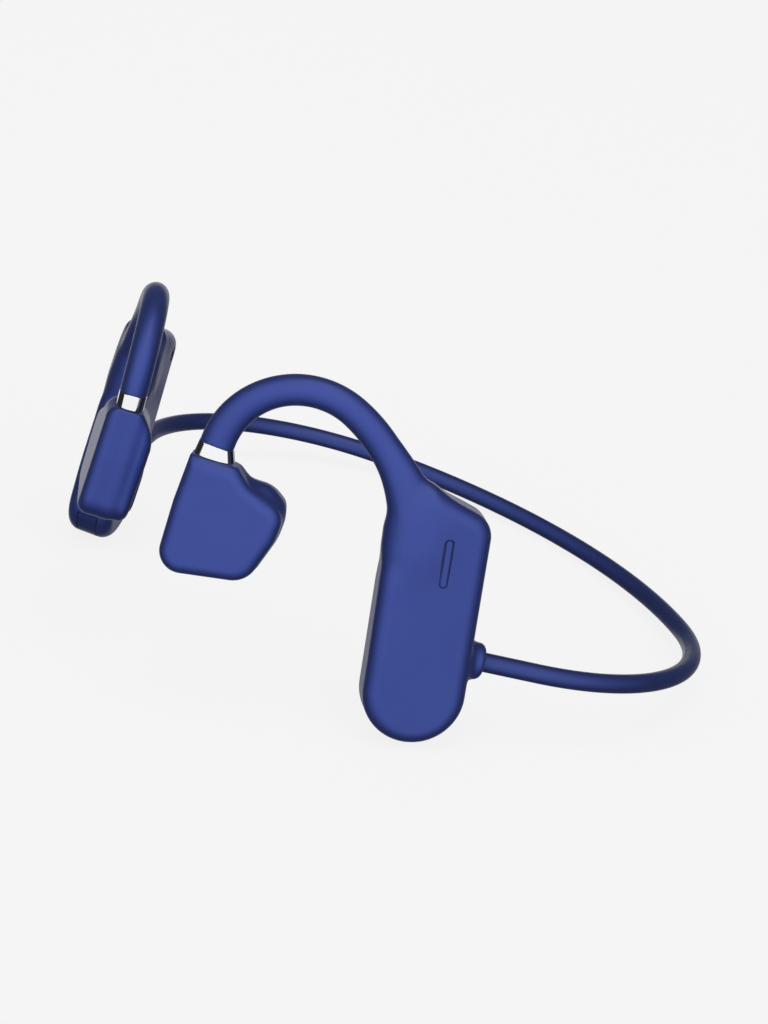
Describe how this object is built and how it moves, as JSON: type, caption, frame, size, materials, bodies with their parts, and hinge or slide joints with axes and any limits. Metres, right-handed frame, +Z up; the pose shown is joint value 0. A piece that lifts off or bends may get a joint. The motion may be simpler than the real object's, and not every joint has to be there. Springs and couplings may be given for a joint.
{
  "type": "bone conduction headphones",
  "caption": "Open-ear headphones with a sprung neckband, battery and control pods behind the ears, over-ear hooks and cheekbone driver pods on chrome rings.",
  "frame": {"origin": "middle of the footprint at table height, as the headset lies on its two pods and the back of its neckband", "axes": "+X towards the wearer's left, +Y towards the back of the neckband, +Z up from the table"},
  "size_m": [0.148, 0.1366, 0.0706],
  "materials": {
    "soft_skin": "matte silicone, royal blue",
    "pod_shell": "soft-touch, royal blue",
    "driver_shell": "soft-touch, royal blue",
    "pad_silicone": "matte silicone",
    "chrome_trim": "polished",
    "spring_wire": "drawn titanium alloy wire",
    "cable_jacket": "thin black jacket",
    "screw_steel": "black zinc",
    "yoke_steel": "nickel plated",
    "magnet": "nickel plated magnet",
    "coil_copper": "enamelled copper winding",
    "diaphragm_film": "thin film on a spring plate",
    "mesh_steel": "fine black mesh",
    "board_green": "solder mask",
    "switch_black": "moulded",
    "battery_foil": "laminated foil pouch",
    "port_steel": "drawn steel can",
    "light_pipe": "clear acrylic"
  },
  "bodies": {
    "neckband": {"neckband_sleeve": "soft_skin", "neckband_core_wire": "spring_wire", "neckband_signal_cable": "cable_jacket"},
    "left_side": {"left_pod_outer_shell": "pod_shell", "left_pod_inner_shell": "pod_shell", "left_pod_screws": "screw_steel", "left_band_collar": "soft_skin", "left_hook_boot": "soft_skin", "left_button_board": "board_green", "left_button_switch": "switch_black", "left_battery": "battery_foil"},
    "right_side": {"right_pod_outer_shell": "pod_shell", "right_pod_inner_shell": "pod_shell", "right_pod_screws": "screw_steel", "right_band_collar": "soft_skin", "right_hook_boot": "soft_skin", "right_volume_switches": "switch_black", "right_charging_port": "port_steel", "right_main_board": "board_green", "right_light_pipe": "light_pipe", "right_microphone": "port_steel"},
    "left_hook": {"left_hook_sleeve": "soft_skin", "left_hook_core_wire": "spring_wire", "left_hook_signal_cable": "cable_jacket", "left_trim_ring": "chrome_trim", "left_driver_outer_shell": "driver_shell", "left_driver_inner_shell": "driver_shell", "left_transducer_yoke": "yoke_steel", "left_transducer_magnet": "magnet", "left_voice_coil": "coil_copper", "left_diaphragm": "diaphragm_film", "left_speaker_mesh": "mesh_steel", "left_ear_pad": "pad_silicone"},
    "right_hook": {"right_hook_sleeve": "soft_skin", "right_hook_core_wire": "spring_wire", "right_hook_signal_cable": "cable_jacket", "right_trim_ring": "chrome_trim", "right_driver_outer_shell": "driver_shell", "right_driver_inner_shell": "driver_shell", "right_transducer_yoke": "yoke_steel", "right_transducer_magnet": "magnet", "right_voice_coil": "coil_copper", "right_diaphragm": "diaphragm_film", "right_speaker_mesh": "mesh_steel", "right_ear_pad": "pad_silicone"},
    "left_button": {"left_multi_function_button": "pod_shell"},
    "volume_up_key": {"right_volume_up_key": "pod_shell"},
    "volume_down_key": {"right_volume_down_key": "pod_shell"},
    "port_flap": {"right_port_flap": "pad_silicone"}
  },
  "joints": [
    {"name": "left_opening", "type": "hinge", "parent": "neckband", "child": "left_side", "pos_m": [0.0354, 0.06044, 0.00308], "axis": [0, 0.1798, 0.9837], "range_deg": [-1, 28], "stiffness_Nm_per_rad": 0.2, "deforming": ["neckband_sleeve", "neckband_core_wire", "neckband_signal_cable"]},
    {"name": "right_opening", "type": "hinge", "parent": "neckband", "child": "right_side", "pos_m": [-0.0354, 0.06044, 0.00308], "axis": [0, -0.1798, -0.9837], "range_deg": [-1, 28], "stiffness_Nm_per_rad": 0.2, "deforming": ["neckband_sleeve", "neckband_core_wire", "neckband_signal_cable"]},
    {"name": "left_hook_flex", "type": "hinge", "parent": "left_side", "child": "left_hook", "pos_m": [0.04214, -0.03365, 0.0515], "axis": [0, 0.1798, 0.9837], "range_deg": [-1.5, 5], "stiffness_Nm_per_rad": 0.3, "deforming": ["left_hook_boot", "left_hook_core_wire", "left_hook_signal_cable"]},
    {"name": "right_hook_flex", "type": "hinge", "parent": "right_side", "child": "right_hook", "pos_m": [-0.04214, -0.03365, 0.0515], "axis": [0, -0.1798, -0.9837], "range_deg": [-1.5, 5], "stiffness_Nm_per_rad": 0.3, "deforming": ["right_hook_boot", "right_hook_core_wire", "right_hook_signal_cable"]},
    {"name": "multi_function_press", "type": "slide", "parent": "left_side", "child": "left_button", "axis": [-0.8146, 0.5632, -0.1384], "range_m": [0, 0.0003], "stiffness_N_per_m": 2500},
    {"name": "volume_up_press", "type": "slide", "parent": "right_side", "child": "volume_up_key", "axis": [0.5708, -0.8209, 0.0192], "range_m": [0, 0.0003], "stiffness_N_per_m": 2500},
    {"name": "volume_down_press", "type": "slide", "parent": "right_side", "child": "volume_down_key", "axis": [0.5708, -0.8209, 0.0192], "range_m": [0, 0.0003], "stiffness_N_per_m": 2500},
    {"name": "port_flap_fold", "type": "hinge", "parent": "right_side", "child": "port_flap", "pos_m": [-0.04576, -0.03907, 0.00817], "axis": [-0.8146, -0.5632, 0.1384], "range_deg": [0, 100], "stiffness_Nm_per_rad": 0.0004}
  ]
}
